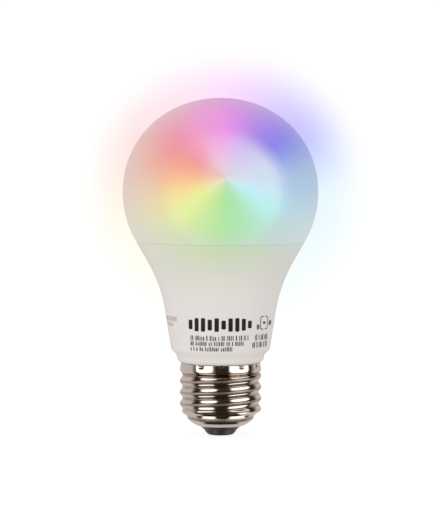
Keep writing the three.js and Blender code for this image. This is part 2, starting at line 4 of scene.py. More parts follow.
import bpy
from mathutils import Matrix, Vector


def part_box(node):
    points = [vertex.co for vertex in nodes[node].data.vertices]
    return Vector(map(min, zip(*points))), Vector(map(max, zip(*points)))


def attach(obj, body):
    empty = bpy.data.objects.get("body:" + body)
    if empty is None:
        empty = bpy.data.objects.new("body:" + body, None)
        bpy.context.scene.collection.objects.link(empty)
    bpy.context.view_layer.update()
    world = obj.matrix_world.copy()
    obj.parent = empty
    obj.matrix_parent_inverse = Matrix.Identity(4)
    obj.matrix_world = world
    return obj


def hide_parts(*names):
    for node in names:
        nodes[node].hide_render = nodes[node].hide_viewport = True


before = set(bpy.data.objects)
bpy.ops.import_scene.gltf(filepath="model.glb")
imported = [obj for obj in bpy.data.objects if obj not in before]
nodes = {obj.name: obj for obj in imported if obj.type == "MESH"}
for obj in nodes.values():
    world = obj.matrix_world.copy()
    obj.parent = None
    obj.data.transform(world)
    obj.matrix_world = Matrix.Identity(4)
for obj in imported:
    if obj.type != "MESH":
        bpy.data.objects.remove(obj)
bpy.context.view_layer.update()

MM = 0.001
CAMERA = (0.0, -0.6237, 0.0857)
CAMERA_LENS = 137.6
CAMERA_DIP = math.radians(2.563)
# The way from the screw cap to the camera.
TO_CAMERA = (0.0, -0.993, 0.117)
FILL = 0.875

# ---- Outline, in millimetres, as the CAD model has it --------

GLOBE_RADIUS = 31.25
GLOBE_Z = 77.9
GLOBE_CROWN = 30.05
CROWN_POWER = 2.05
GLOBE_WALL = 1.3
SEAM_Z = 61.9
SEAM_GAP = 0.05
SKIRT_DEPTH = 3.0
SHOULDER = math.radians(29.6)
SHOULDER_LENGTH = 7.95
WAIST_RADIUS = 46.4
TAPER = math.radians(8.9)
TAPER_Z = 28.4
HOUSING_WALL = 1.5
LEDGE_Z = 38.0
THREAD_CREST = 13.05
THREAD_DEPTH = 0.85
THREAD_FULLNESS = 0.12
THREAD_PITCH = 25.4 / 7
THREAD_CREST_Z = 17.4
THREAD_FOOT_Z = 5.8
THREAD_RUN_OUT = 2.4
SHELL_TOP_Z = 23.4
BAND_FOOT_Z = 20.9
BAND_RADIUS = 13.08
BAND_TAPER = 0.12
BELL_RADIUS = 10.6
SHEET = 0.35

GLOBE_RIM = (GLOBE_RADIUS * math.cos(SHOULDER), GLOBE_Z - GLOBE_RADIUS * math.sin(SHOULDER))
WAIST_TOP = (
    GLOBE_RIM[0] - SHOULDER_LENGTH * math.sin(SHOULDER),
    GLOBE_RIM[1] - SHOULDER_LENGTH * math.cos(SHOULDER),
)
WAIST_CENTRE = (
    WAIST_TOP[0] + WAIST_RADIUS * math.cos(SHOULDER),
    WAIST_TOP[1] - WAIST_RADIUS * math.sin(SHOULDER),
)


def on_shoulder(z, depth=0.0):
    return (GLOBE_RIM[0] - (GLOBE_RIM[1] - z) * math.tan(SHOULDER) - depth / math.cos(SHOULDER), z)


def on_waist(angle, depth=0.0):
    reach = WAIST_RADIUS + depth
    return (WAIST_CENTRE[0] - reach * math.cos(angle), WAIST_CENTRE[1] + reach * math.sin(angle))


def on_taper(z, depth=0.0):
    r, top = on_waist(TAPER)
    return (r - (top - z) * math.tan(TAPER) - depth / math.cos(TAPER), z)


def steps(count, low, high):
    return [low + (high - low) * i / count for i in range(count + 1)]


def circle(count):
    return [2 * math.pi * i / count for i in range(count)]


def outline_radius(z):
    """The housing's outer radius at a height."""
    if z > WAIST_TOP[1]:
        return on_shoulder(z)[0]
    if z > on_waist(TAPER)[1]:
        return on_waist(math.asin((z - WAIST_CENTRE[1]) / WAIST_RADIUS))[0]
    return on_taper(z)[0]


def smooth(value, low, high):
    t = min(1.0, max(0.0, (value - low) / (high - low)))
    return t * t * (3 - 2 * t)


# ---- Camera, light and floor --------


def make_camera():
    data = bpy.data.cameras.new("camera")
    data.lens = CAMERA_LENS
    camera = bpy.data.objects.new("camera", data)
    camera.location = CAMERA
    camera.rotation_euler = (math.pi / 2 - CAMERA_DIP, 0, 0)
    bpy.context.collection.objects.link(camera)
    bpy.context.scene.camera = camera


def make_softbox(name, azimuth, size, power, distance=0.6, height=0.1):
    """An area light that faces the bulb. The azimuth is from the front towards +X, in degrees."""
    data = bpy.data.lights.new(name, "AREA")
    data.shape = "RECTANGLE"
    data.size, data.size_y = size
    data.energy = power
    light = bpy.data.objects.new(name, data)
    a = math.radians(azimuth)
    light.location = (distance * math.sin(a), -distance * math.cos(a), height)
    light.rotation_euler = (math.radians(90), 0, a)
    light.visible_camera = False
    light.visible_glossy = False
    bpy.context.collection.objects.link(light)


# ---- Mesh helpers --------


def new_piece(name, vertices, faces, material):
    mesh = bpy.data.meshes.new(name)
    mesh.from_pydata([(x * MM, y * MM, z * MM) for x, y, z in vertices], [], faces)
    mesh.materials.append(material)
    piece = bpy.data.objects.new(name, mesh)
    bpy.context.collection.objects.link(piece)
    return piece


def make_object(name, vertices, faces, material, slot, replaced=None, sharp=35):
    """A smooth-shaded piece, riding on the bulb."""
    piece = new_piece(name, vertices, faces, material)
    piece.data.validate()
    piece.data.polygons.foreach_set("use_smooth", [True] * len(piece.data.polygons))
    piece.data.set_sharp_from_angle(angle=math.radians(sharp))
    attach(piece, "root")
    if replaced:
        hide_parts(replaced)
    return piece


def grid_faces(rows, columns, loop_rows=False):
    """Quads over rings of vertices, each ring closed on itself."""
    faces = []
    for j in range(rows if loop_rows else rows - 1):
        here, above = j * columns, (j + 1) % rows * columns
        for i in range(columns):
            after = (i + 1) % columns
            faces.append((here + i, here + after, above + after, above + i))
    return faces


def turned(profile, sides=128):
    """Vertices and faces of a profile turned about Z, outwards along undersides, up outer walls."""
    on_axis = profile[0][0] == 0
    rings = profile[1:-1] if on_axis else profile
    ways = [(math.cos(a), math.sin(a)) for a in circle(sides)]
    vertices = [(r * c, r * s, z) for r, z in rings for c, s in ways]
    faces = grid_faces(len(rings), sides, loop_rows=not on_axis)
    if on_axis:
        first, last = len(vertices), len(vertices) + 1
        vertices += [(0, 0, profile[0][1]), (0, 0, profile[-1][1])]
        top = (len(rings) - 1) * sides
        for i in range(sides):
            after = (i + 1) % sides
            faces.append((first, after, i))
            faces.append((last, top + i, top + after))
    return vertices, faces


def rounded(corners, count=4):
    """A profile whose corners (r, z, radius) are rounded; a corner without a radius stays."""
    line = []
    for i, corner in enumerate(corners):
        if len(corner) == 2 or i in (0, len(corners) - 1):
            line.append(corner[:2])
            continue
        here = Vector(corner[:2])
        before = Vector(corners[i - 1][:2]) - here
        after = Vector(corners[i + 1][:2]) - here
        half = before.angle(after) / 2
        reach = min(corner[2] / math.tan(half), 0.49 * before.length, 0.49 * after.length)
        start, end = here + before.normalized() * reach, here + after.normalized() * reach
        for t in steps(count, 0, 1):
            line.append(tuple(start * (1 - t) ** 2 + here * 2 * t * (1 - t) + end * t * t))
    return line


def soften(piece, width):
    bevel = piece.modifiers.new("bevel", "BEVEL")
    bevel.width = width * MM
    bevel.segments = 2
    return bevel


def rounded_frame(x, y, width, height, corner, count, inset=0.0):
    """Places round a rounded rectangle, moved inwards, as (x, y, outwards x, outwards y)."""
    places = []
    for i, (side, up) in enumerate(((1, 1), (-1, 1), (-1, -1), (1, -1))):
        middle = (x + side * (width / 2 - corner), y + up * (height / 2 - corner))
        for a in steps(count, i * math.pi / 2, (i + 1) * math.pi / 2):
            c, s = math.cos(a), math.sin(a)
            places.append((middle[0] + (corner - inset) * c, middle[1] + (corner - inset) * s, c, s))
    return places


def extent(name):
    """The middle, size and upper corner of a CAD node."""
    low, high = (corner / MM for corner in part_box(name))
    return (low + high) / 2, high - low, high


# ---- Materials --------


class Nodes:
    """Adds nodes to a tree. A colour may be given as #hex."""

    def __init__(self, tree):
        self.tree = tree

    def node(self, kind, inputs=(), **settings):
        made = self.tree.nodes.new(kind)
        for key, value in settings.items():
            setattr(made, key, value)
        for key, value in dict(inputs).items():
            if isinstance(value, bpy.types.NodeSocket):
                self.tree.links.new(value, made.inputs[key])
            elif str(value).startswith("#"):
                made.inputs[key].default_value = (*linear(value), 1)
            else:
                made.inputs[key].default_value = value
        return made

    def math(self, operation, *values):
        return self.node("ShaderNodeMath", dict(enumerate(values)), operation=operation).outputs[0]

    def vector(self, operation, *values):
        return self.node("ShaderNodeVectorMath", dict(enumerate(values)), operation=operation).outputs[0]

    def plus(self, first, second):
        return self.math("ADD", first, second)

    def minus(self, first, second):
        return self.math("SUBTRACT", first, second)

    def times(self, first, second):
        return self.math("MULTIPLY", first, second)

    def over(self, first, second):
        return self.math("DIVIDE", first, second)

    def power(self, base, exponent):
        return self.math("POWER", base, float(exponent))

    def off(self, value, middle=0.0):
        """How far a value is from a middle one, to either side."""
        return self.math("ABSOLUTE", self.minus(value, middle))

    def hypotenuse(self, first, second):
        return self.math("SQRT", self.plus(self.power(first, 2), self.power(second, 2)))

    def length(self, vector):
        return self.node("ShaderNodeVectorMath", {0: vector}, operation="LENGTH").outputs["Value"]

    def axes(self, vector):
        return self.node("ShaderNodeSeparateXYZ", {0: vector}).outputs

    def fit(self, value, low, high, to_low=0.0, to_high=1.0, kind="SMOOTHSTEP"):
        inputs = {"Value": value, "From Min": low, "From Max": high, "To Min": to_low, "To Max": to_high}
        return self.node("ShaderNodeMapRange", inputs, interpolation_type=kind).outputs["Result"]

    def fall(self, value, low, high, kind="SMOOTHSTEP"):
        """1 up to the low value, and from there down to 0 at the high one."""
        return self.fit(value, low, high, 1.0, 0.0, kind)

    def between(self, value, start, full, fading, gone):
        """0 up to the start, 1 from full to fading, and 0 again from gone."""
        return self.both(self.fit(value, start, full), self.fall(value, fading, gone))

    def both(self, *values):
        """The product of several masks."""
        product = values[0]
        for value in values[1:]:
            product = self.times(product, value)
        return product

    def either(self, first, second):
        return self.math("MAXIMUM", first, second)

    def ramp(self, value, stops, interpolation="LINEAR"):
        made = self.node("ShaderNodeValToRGB", {"Fac": value})
        ramp = made.color_ramp
        ramp.interpolation = interpolation
        while len(ramp.elements) < len(stops):
            ramp.elements.new(1.0)
        for element, (position, colour) in zip(ramp.elements, stops):
            element.position = position
            element.color = (*linear(colour), 1)
        return made.outputs["Color"]

    def mix(self, factor, first, second):
        inputs = {0: factor, 6: first, 7: second}
        return self.node("ShaderNodeMix", inputs, data_type="RGBA").outputs[2]


class Look(Nodes):
    """A Principled material, whose places and sizes are all in millimetres."""

    def __init__(self, name, **sockets):
        self.material = bpy.data.materials.new(name)
        self.material.use_nodes = True
        super().__init__(self.material.node_tree)
        self.shader = self.tree.nodes["Principled BSDF"]
        for socket, value in sockets.items():
            self.shader.inputs[socket.replace("_", " ")].default_value = value
        metres = self.node("ShaderNodeTexCoord").outputs["Object"]
        self.place = self.vector("MULTIPLY", metres, (1 / MM,) * 3)
        self.x, self.y, self.z = self.axes(self.place)

    def noise(self, size, detail=3.0, roughness=0.55, stretch=(1, 1, 1)):
        """Noise whose features are about this size."""
        where = self.vector("MULTIPLY", self.place, stretch)
        inputs = {"Vector": where, "Scale": 1 / size, "Detail": detail, "Roughness": roughness}
        return self.node("ShaderNodeTexNoise", inputs).outputs["Fac"]

    def mottle(self, grain, dark, pale):
        return self.mix(self.fit(grain, 0.3, 0.7), dark, pale)

    def link(self, value, socket):
        self.tree.links.new(value, self.shader.inputs[socket])

    def colour(self, value, socket="Base Color"):
        self.link(value, socket)

    def roughness(self, value, low, high):
        self.link(self.fit(value, 0.3, 0.7, low, high, "LINEAR"), "Roughness")

    def relief(self, *heights):
        """Bumps stacked on each other, each a (height, depth) pair."""
        normal = None
        for height, depth in heights:
            inputs = {"Height": height, "Distance": depth * MM, "Strength": 1.0}
            if normal:
                inputs["Normal"] = normal
            normal = self.node("ShaderNodeBump", inputs).outputs["Normal"]
        self.link(normal, "Normal")

    def reach(self, x=0.0, y=0.0):
        """The distance from an upright axis."""
        away = self.vector("SUBTRACT", self.place, (x, y, 0))
        return self.length(self.vector("MULTIPLY", away, (1, 1, 0)))

    def partly_metal(self, mask, colour, roughness, metal="#c9c7c1", metal_roughness=0.3):
        """A body whose leads, where the mask is 1, are bright metal."""
        self.colour(self.mix(mask, colour, metal))
        self.link(self.fit(mask, 0, 1, roughness, metal_roughness), "Roughness")
        self.link(mask, "Metallic")


def linear(colour):
    """A #hex colour in linear light."""
    colour = [int(colour[i : i + 2], 16) / 255 for i in (1, 3, 5)]
    return [c / 12.92 if c <= 0.04045 else ((c + 0.055) / 1.055) ** 2.4 for c in colour]


# ---- Looks of the enclosure --------

# The light inside the globe shows as a wheel of colours about a hub, anticlockwise from +X.
# Round DISC_CENTRE lies the paler disc that the light engine throws on the globe.
HUB = (1.6, 0.0, 82.6)
DISC_CENTRE = (1.2, 0.0, 77.5)
NEAR_WHEEL = (
    "#cadcf0", "#cfcfee", "#d0c0f0", "#ecb0ec", "#f2aace", "#f09a9c",
    "#f6bc91", "#e8ea94", "#c8e892", "#a4e69a", "#a8e6be", "#b8eef0",
)
FAR_WHEEL = (
    "#acc6e8", "#8c8aea", "#b48ae8", "#e892e6", "#ec9aca", "#ee969e",
    "#eeba9c", "#e4e2a4", "#cee2b0", "#bcdcb8", "#bedece", "#b8dae4",
)
RIM_WHEEL = (
    "#aec6d8", "#a6b0de", "#d6cce0", "#d6d2cf", "#d6d2cf", "#dcceca",
    "#dbcdc8", "#dad6ce", "#d6d2cf", "#d6d2cf", "#d6d6d8", "#d0dce2",
)
HALO_WHEEL = (
    "#e4f6fe", "#c4c8fc", "#e0cefe", "#fedefc", "#fee4ee", "#fee4e2",
    "#fef2e4", "#fcfcec", "#fcfef0", "#fafefa", "#f4fcfa", "#eefafc",
)


def turn_of(tree, x, z):
    """The angle from +X towards +Z, as a fraction of a turn."""
    return tree.math("FRACT", tree.plus(tree.over(tree.math("ARCTAN2", z, x), 2 * math.pi), 1.0))


def wheel_ramp(tree, turn, colours):
    stops = [(i / len(colours), c) for i, c in enumerate(colours)]
    return tree.ramp(turn, stops + [(1.0, colours[0])], "CARDINAL")


def seen_from(look, centre):
    """The way from a centre to each point, flattened on to the plane of the front."""
    return look.vector("MULTIPLY", look.vector("SUBTRACT", look.place, centre), (1, 0, 1))


def wheel(look):
    """The glow's colour at each point, from pale at the hub through strong to greyed at the rim."""
    flat = seen_from(look, HUB)
    x, _, z = look.axes(flat)
    turn = turn_of(look, x, z)
    reach = look.length(flat)
    wheels = (NEAR_WHEEL, FAR_WHEEL, RIM_WHEEL)
    near, far, rim = (wheel_ramp(look, turn, colours) for colours in wheels)
    from_disc = look.length(seen_from(look, DISC_CENTRE))
    outside = look.either(look.fit(from_disc, 14.5, 21.5), look.fit(reach, 16, 23))
    strong = look.mix(outside, near, far)
    heart = look.length(look.vector("SUBTRACT", flat, (-0.5, 0, 2)))
    inside = look.either(look.fit(heart, 0, 10, 0.6, 0.0), look.fit(reach, 0, 4, 0.6, 0.0))
    pale = look.mix(inside, strong, "#e2dcd8")
    return look.mix(look.fit(reach, 17, 34, 0.0, 0.78), pale, rim)


def frosted_globe():
    look = Look("frosted_globe", Roughness=0.5, Emission_Strength=0.5, IOR=1.4)
    glow = wheel(look)
    disc = look.fit(look.length(seen_from(look, DISC_CENTRE)), 17.3, 18.1, 0.09, 0.0)
    clear = look.either(look.fit(look.x, -2, 14), look.fall(look.z, 70, 82))
    glow = look.mix(look.both(disc, clear, look.fall(look.z, 84, 94)), glow, "#ffffff")
    glow = look.mix(look.fit(look.z, 64, 72, 0.13, 0.0), glow, "#d6d2cf")
    look.colour(look.mix(0.5, glow, "#000000"))
    look.colour(glow, "Emission Color")
    look.relief((look.noise(0.5, 4), 0.004), (look.noise(9), 0.02))
    return look.material


def housing_plastic():
    look = Look("housing_plastic", Roughness=0.45)
    plain = look.mix(look.noise(14, 2), "#e0dbd6", "#e4dfdb")
    # Painted light: the globe's glow is painted on the housing's top, in the wheel's colours and a
    # green-yellow, strongest next to the globe and paler towards the sides.
    side = look.off(look.x)
    painted_glow = look.mix(look.fit(side, 9, 24, 0.6, 0.24), wheel(look), "#d0dcb4")
    painted_glow = look.mix(look.fit(side, 9, 24, 0.0, 0.3), painted_glow, "#ece6e4")
    look.colour(look.mix(look.fit(look.z, 44, 63, 0.0, 0.95), plain, painted_glow))
    look.roughness(look.noise(3), 0.40, 0.50)
    look.relief((look.noise(0.35, 4), 0.003), (look.noise(12), 0.02))
    return look.material


def nickel():
    """Bright plating: dull where the thread's crests have rubbed, with painted shade down in its grooves
    and in the recess under the band.
    """
    look = Look("nickel", Metallic=1.0)
    azimuth = look.math("ARCTAN2", look.y, look.x)
    climb = look.times(look.minus(look.z, THREAD_CREST_Z), 2 * math.pi / THREAD_PITCH)
    wave = look.math("COSINE", look.minus(climb, look.minus(azimuth, math.pi)))
    threaded = look.between(look.z, 7.8, 9.4, 18.6, 19.4)
    crest = look.both(look.fit(wave, 0.7, 0.95), threaded)
    groove = look.both(look.fall(wave, -0.85, -0.5), threaded)
    dull = look.either(crest, look.between(look.z, 5.2, 5.5, 6.2, 6.6))
    clean = look.mix(look.noise(6, 4), "#e6deda", "#dcd3ce")
    # Painted shade: the thread's grooves are painted darker.
    painted_groove_shade = look.mix(look.noise(0.8, 3), "#cbc0b8", "#b8aca2")
    rubbed = look.mix(look.noise(0.5, 3), "#d2c9c4", "#c2b8b2")
    # Painted shade: the recess just under the band is painted darker all round.
    painted_recess_shade = look.between(look.z, 19.1, 19.5, 20.3, 20.7)
    with_painted_shade = look.mix(painted_recess_shade, look.mix(groove, clean, painted_groove_shade), "#b5a69b")
    look.colour(look.mix(dull, with_painted_shade, rubbed))
    scratches = look.noise(0.25, 3, 0.6, (0.35, 0.35, 4))
    gloss = look.fit(scratches, 0.3, 0.7, 0.07, 0.13, "LINEAR")
    worn = look.plus(look.times(dull, 0.38), look.times(groove, 0.08))
    look.link(look.plus(gloss, worn), "Roughness")
    run_out = look.fit(look.z, 7.2, 8.3, kind="LINEAR")
    bead = look.fit(look.off(look.z, 6.2), 0.0, 0.9, kind="LINEAR")
    rolled_edge = look.fall(look.z, 20.8, 21.8, "LINEAR")
    look.relief(
        (scratches, 0.002),
        (look.noise(2.5, 2), 0.006),
        (run_out, 0.22),
        (look.minus(0.0, look.power(bead, 2)), 0.08),
        (look.minus(0.0, look.power(rolled_edge, 2)), 0.06),
    )
    return look.material


def black_glaze():
    look = Look("black_glaze", Roughness=0.3, Specular_IOR_Level=0.35)
    look.colour(look.mix(look.noise(1.5), "#2c2729", "#383132"))
    look.relief((look.noise(1.2), 0.01))
    return look.material


def contact_metal():
    look = Look("contact_metal", Metallic=1.0)
    look.colour(look.mix(look.noise(0.8), "#8f8570", "#7d776a"))
    look.roughness(look.noise(0.3), 0.3, 0.5)
    look.relief((look.noise(0.6), 0.01))
    return look.material


def ink(name, dark, pale, spread):
    """Pad-printed ink, thinner in places."""
    look = Look(name, Roughness=0.6)
    look.colour(look.mix(look.fit(look.noise(0.3, 4), 0.5 - spread, 0.5 + spread), dark, pale))
    look.relief((look.noise(0.12, 2), 0.004))
    return look.material


# ---- Looks of what is inside --------


def moulded(name, dark, pale, grain, roughness, depth=0.01):
    """Moulded, cast or pressed stuff of one colour, with a grain of the given size."""
    look = Look(name)
    fine = look.noise(grain, 4)
    look.colour(look.mottle(fine, dark, pale))
    look.roughness(look.noise(grain * 3), roughness - 0.06, roughness + 0.06)
    look.relief((fine, depth), (look.noise(grain * 9, 2), depth * 2))
    return look.material


def metal(name, dark, pale, grain, roughness, stretch=(1, 1, 1), depth=0.003):
    look = Look(name, Metallic=1.0)
    lines = look.noise(grain, 3, 0.6, stretch)
    look.colour(look.mix(look.noise(3, 3), dark, pale))
    look.roughness(lines, roughness - 0.08, roughness + 0.08)
    look.relief((lines, depth), (look.noise(2, 2), 0.008))
    return look.material


def brushed_sheet():
    """Spun aluminium, brushed round its axis."""
    look = Look("brushed_sheet", Metallic=1.0)
    inputs = {"W": look.times(look.reach(), 4.0), "Detail": 3.0}
    lines = look.node("ShaderNodeTexNoise", inputs, noise_dimensions="1D").outputs["Fac"]
    bands = look.noise(0.3, 3, 0.6, (0.1, 0.1, 3))
    brush = look.mix(0.5, lines, bands)
    look.colour(look.mix(look.noise(7, 3), "#b4b8bc", "#c6c9cc"))
    look.roughness(brush, 0.28, 0.46)
    look.relief((brush, 0.006), (look.noise(9, 2), 0.03))
    return look.material


def gap_filler():
    """Soft pad with the weave of its glass carrier showing through."""
    look = Look("gap_filler", Roughness=0.8)
    waves = [look.math("SINE", look.times(side, 2 * math.pi / 0.9)) for side in (look.x, look.y)]
    weave = look.fit(look.both(*waves), -1, 1)
    look.colour(look.mix(weave, "#888f96", "#a3a9af"))
    look.relief((weave, 0.03), (look.noise(0.4), 0.02))
    return look.material


def circuit(name, along, up, mask, trace, metal_colour):
    """Solder mask over copper tracks that turn square corners, with plated holes here and there, their
    bores painted near black as shade.
    """
    look = Look(name, IOR=1.5)
    along, up = getattr(look, along), getattr(look, up)
    flat = look.node("ShaderNodeCombineXYZ", {"X": along, "Y": up}).outputs[0]
    crossed = look.node("ShaderNodeCombineXYZ", {"X": up, "Y": along}).outputs[0]
    tracks = None
    for vector, width, height in ((flat, 3.7, 1.3), (crossed, 5.3, 1.9)):
        inputs = {"Vector": vector, "Scale": 1.0, "Mortar Size": 0.16, "Mortar Smooth": 0.1}
        inputs.update({"Brick Width": width, "Row Height": height})
        lines = look.node("ShaderNodeTexBrick", inputs).outputs["Fac"]
        here = look.fit(look.noise(4 + width, 1), 0.46, 0.5)
        tracks = look.either(tracks, look.both(lines, here)) if tracks else look.both(lines, here)
    cells = look.node("ShaderNodeTexVoronoi", {"Vector": flat, "Scale": 1 / 2.6}, voronoi_dimensions="2D")
    holes = look.fall(cells.outputs["Distance"], 0.10, 0.12)
    # Painted shade: the bore inside each plated hole is painted near black.
    painted_bore_shade = look.fall(cells.outputs["Distance"], 0.05, 0.06)
    covered = look.mix(look.both(tracks, 0.8), mask, trace)
    grain = look.noise(0.25, 3)
    look.colour(look.mix(painted_bore_shade, look.mix(holes, covered, metal_colour), "#141210"))
    look.link(look.both(holes, look.minus(1.0, painted_bore_shade)), "Metallic")
    look.roughness(grain, 0.36, 0.48)
    look.relief((look.either(tracks, holes), 0.035), (painted_bore_shade, -0.05), (grain, 0.004))
    return look.material


def can_sleeve(name, sleeve, stripe, axis, radius, low, high):
    """A capacitor's printed sleeve, open at both ends over the bare can, and its bare legs."""
    look = Look(name, IOR=1.5)
    away = look.reach(*axis)
    side = look.fit(look.minus(look.x, axis[0]), 0.55 * radius, 0.6 * radius)
    bars = look.fit(look.math("PINGPONG", look.z, 1.4), 0.45, 0.5)
    printed = look.mix(look.both(side, bars), sleeve, stripe)
    body = look.between(look.z, low - 0.001, low, high, high + 0.001)
    wrapped = look.both(body, look.fit(away, radius - 1.0, radius - 0.9))
    look.partly_metal(look.minus(1.0, wrapped), printed, 0.35, "#c3c4c6", 0.35)
    look.relief((look.noise(1.5, 2, 0.5, (1, 1, 0.3)), 0.02), (look.noise(0.3), 0.004))
    return look.material


def chip_package(name, centre, half_width, half_height):
    """A black moulded chip with a dimple at its first pin and tinned gull-wing leads."""
    look = Look(name)
    leads = look.fit(look.off(look.z, centre.z), half_height, half_height + 0.02)
    first_pin = (centre.x + 0.8 - half_width, 0, centre.z + half_height - 0.8)
    dimple = look.fall(look.length(seen_from(look, first_pin)), 0.3, 0.36)
    grain = look.noise(0.12, 3)
    black = look.mottle(grain, "#131313", "#1e1e1f")
    look.partly_metal(leads, look.mix(dimple, black, "#2b2b2c"), 0.6)
    look.relief((dimple, -0.06), (grain, 0.006))
    return look.material


def film_box():
    """The cast yellow box of a film capacitor, with two printed bars and its resin face."""
    look = Look("film_box", IOR=1.5)
    grain = look.noise(0.4, 3)
    yellow = look.mottle(grain, "#c49a1e", "#d2a832")
    up = look.math("PINGPONG", look.minus(look.z, 30.8), 1.2)
    front = look.fall(look.y, -5.5, -5.45)
    bars = look.both(look.fall(up, 0.35, 0.4), look.fall(look.off(look.x), 2.8, 2.85), front)
    look.colour(look.mix(bars, yellow, "#4a3a12"))
    look.roughness(look.noise(2), 0.35, 0.5)
    look.relief((grain, 0.008), (look.noise(3), 0.03))
    return look.material


def dipped_disc():
    look = Look("dipped_disc", IOR=1.5)
    legs = look.fall(look.y, 1.1, 1.15)
    drips = look.noise(1.6, 3)
    look.partly_metal(legs, look.mottle(drips, "#24507e", "#31659a"), 0.4)
    look.relief((drips, 0.08), (look.noise(0.3), 0.01))
    return look.material


def banded_resistor():
    """A flameproof body with five colour bands and tinned leads."""
    look = Look("banded_resistor")
    along = look.fit(look.x, -3.2, 3.2, kind="LINEAR")
    body = "#5f827b"
    starts = (0.14, 0.30, 0.44, 0.58, 0.76)
    bands = ("#6b4a2a", "#1a1a1a", "#b08a2a", "#1a1a1a", "#8c8c90")
    stops = [(0.0, body)]
    for start, band in zip(starts, bands):
        stops += [(start, band), (start + 0.07, body)]
    leads = look.fit(look.off(look.x), 3.2, 3.25)
    look.partly_metal(leads, look.ramp(along, stops, "CONSTANT"), 0.6)
    look.relief((look.noise(0.35, 3), 0.03))
    return look.material


# ---- Enclosure --------


def globe_line(depth, count):
    """The globe's wall, moved inwards by a depth, from its rim up to just short of the pole."""
    reach = GLOBE_RADIUS - depth
    lower = [(reach * math.cos(a), GLOBE_Z + reach * math.sin(a)) for a in steps(count // 3, -SHOULDER, 0)]
    power = 2 / CROWN_POWER
    upper = [
        (reach * math.cos(a) ** power, GLOBE_Z + (GLOBE_CROWN - depth) * math.sin(a) ** power)
        for a in steps(count, 0, math.pi / 2)
    ]
    return lower + upper[1:-1]


def make_globe():
    rim, foot = SEAM_Z + SEAM_GAP / 2, SEAM_Z - SKIRT_DEPTH
    outside = HOUSING_WALL + 0.2
    inside = outside + 1.1
    skirt = rounded([
        on_shoulder(rim + 0.3, inside),
        (*on_shoulder(foot, inside), 0.3),
        (*on_shoulder(foot, outside), 0.3),
        on_shoulder(rim, outside),
        (*on_shoulder(rim), 0.05),
        on_shoulder(rim + 0.3),
    ])
    profile = [(0, GLOBE_Z + GLOBE_CROWN - GLOBE_WALL)]
    profile += globe_line(GLOBE_WALL, 30)[::-1] + skirt + globe_line(0, 60)
    profile.append((0, GLOBE_Z + GLOBE_CROWN))
    make_object("globe", *turned(profile, 160), frosted_globe(), "frosted_diffuser", "diffuser_dome")


def make_housing():
    mouth = SEAM_Z - SEAM_GAP / 2
    ledge = on_taper(LEDGE_Z, HOUSING_WALL)
    waist = steps(30, TAPER, SHOULDER)
    foot = rounded([
        (10.1, 26.0),
        (10.1, 10.6, 0.3),
        (11.3, 10.6, 0.3),
        (11.3, 20.7),
        (12.25, 21.4),
        (12.25, 23.6),
        (13.1, 23.6, 0.3),
        (13.85, 24.35, 0.5),
        (14.15, 25.95, 0.35),
        (15.85, 27.65, 0.7),
        on_taper(TAPER_Z + 1.0),
    ])
    lip = rounded([
        on_shoulder(mouth - 0.5),
        (*on_shoulder(mouth), 0.05),
        on_shoulder(mouth, HOUSING_WALL),
    ])
    profile = foot + [on_waist(a) for a in waist] + lip
    profile += [on_waist(a, HOUSING_WALL) for a in reversed(waist)]
    profile += [ledge, (ledge[0] - 1.2, LEDGE_Z), (13.9, 29.6)]
    make_object("housing", *turned(profile, 160), housing_plastic(), "housing_plastic", "housing_shell")


def shell_radius(z, azimuth):
    """A right-hand rounded thread, run out at the foot and soonest in front, under a plain band."""
    phase = 2 * math.pi * (z - THREAD_CREST_Z) / THREAD_PITCH - (azimuth - math.pi)
    wave = (math.cos(phase) - THREAD_FULLNESS * math.cos(2 * phase) + 1 + THREAD_FULLNESS) / 2
    root = THREAD_CREST - THREAD_DEPTH
    run_out = THREAD_FOOT_Z + THREAD_RUN_OUT * max(-math.sin(azimuth), 0)
    groove = BELL_RADIUS + (root - BELL_RADIUS) * min(max((z - THREAD_FOOT_Z) / 2.1, 0), 1)
    depth = THREAD_DEPTH * smooth(z, run_out, run_out + 1.6)
    depth *= 1 - smooth(z, BAND_FOOT_Z - 1.3, BAND_FOOT_Z - 0.3)
    thread = groove + depth * wave
    straight = BAND_RADIUS - BAND_TAPER * max(z - BAND_FOOT_Z, 0)
    band = root + (straight - root) * smooth(z, BAND_FOOT_Z - 1, BAND_FOOT_Z)
    return max(thread, band - 5 * (1 - smooth(z, 18, 19.2))) - dimple(z, azimuth)


def dimple(z, azimuth):
    """How deep the row of crimping punches has pressed the band in."""
    spacing, first, height = math.pi / 6, 0.026, 22.85
    width, rise, depth = 0.85, 0.5, 0.27
    along = (azimuth + math.pi / 2 - first + spacing / 2) % spacing - spacing / 2
    away = math.hypot(along * THREAD_CREST / width, (z - height) / rise)
    return depth * math.exp(-(away**2))


def make_screw_shell():
    lip = [
        (6.75, 3.0), (7.4, 3.12), (8.0, 3.34), (8.5, 3.62), (9.0, 3.95),
        (9.45, 4.27), (9.8, 4.55), (10.12, 4.86), (10.5, 5.22), (10.56, 5.5),
    ]
    turns = circle(360)
    heights = steps(160, THREAD_FOOT_Z - 0.1, SHELL_TOP_Z - 0.12)

    def ring(radius, z):
        radii = [radius(a) if callable(radius) else radius for a in turns]
        return [(r * math.cos(a), r * math.sin(a), z) for r, a in zip(radii, turns)]

    rings = [ring(r, z) for r, z in lip]
    rings += [ring(lambda a, z=z: shell_radius(z, a), z) for z in heights]
    top = BAND_RADIUS - BAND_TAPER * (SHELL_TOP_Z - BAND_FOOT_Z)
    rings.append(ring(top - 0.12, SHELL_TOP_Z))
    rings.append(ring(top - SHEET, SHELL_TOP_Z))
    rings += [ring(lambda a, z=z: shell_radius(z, a) - SHEET, z) for z in heights[::-3]]
    rings += [ring(r - 0.1, z + 0.33) for r, z in lip[::-1]]
    vertices = [v for r in rings for v in r]
    faces = grid_faces(len(rings), len(turns), loop_rows=True)
    make_object("screw_cap", vertices, faces, nickel(), "nickel", "screw_shell", sharp=30)


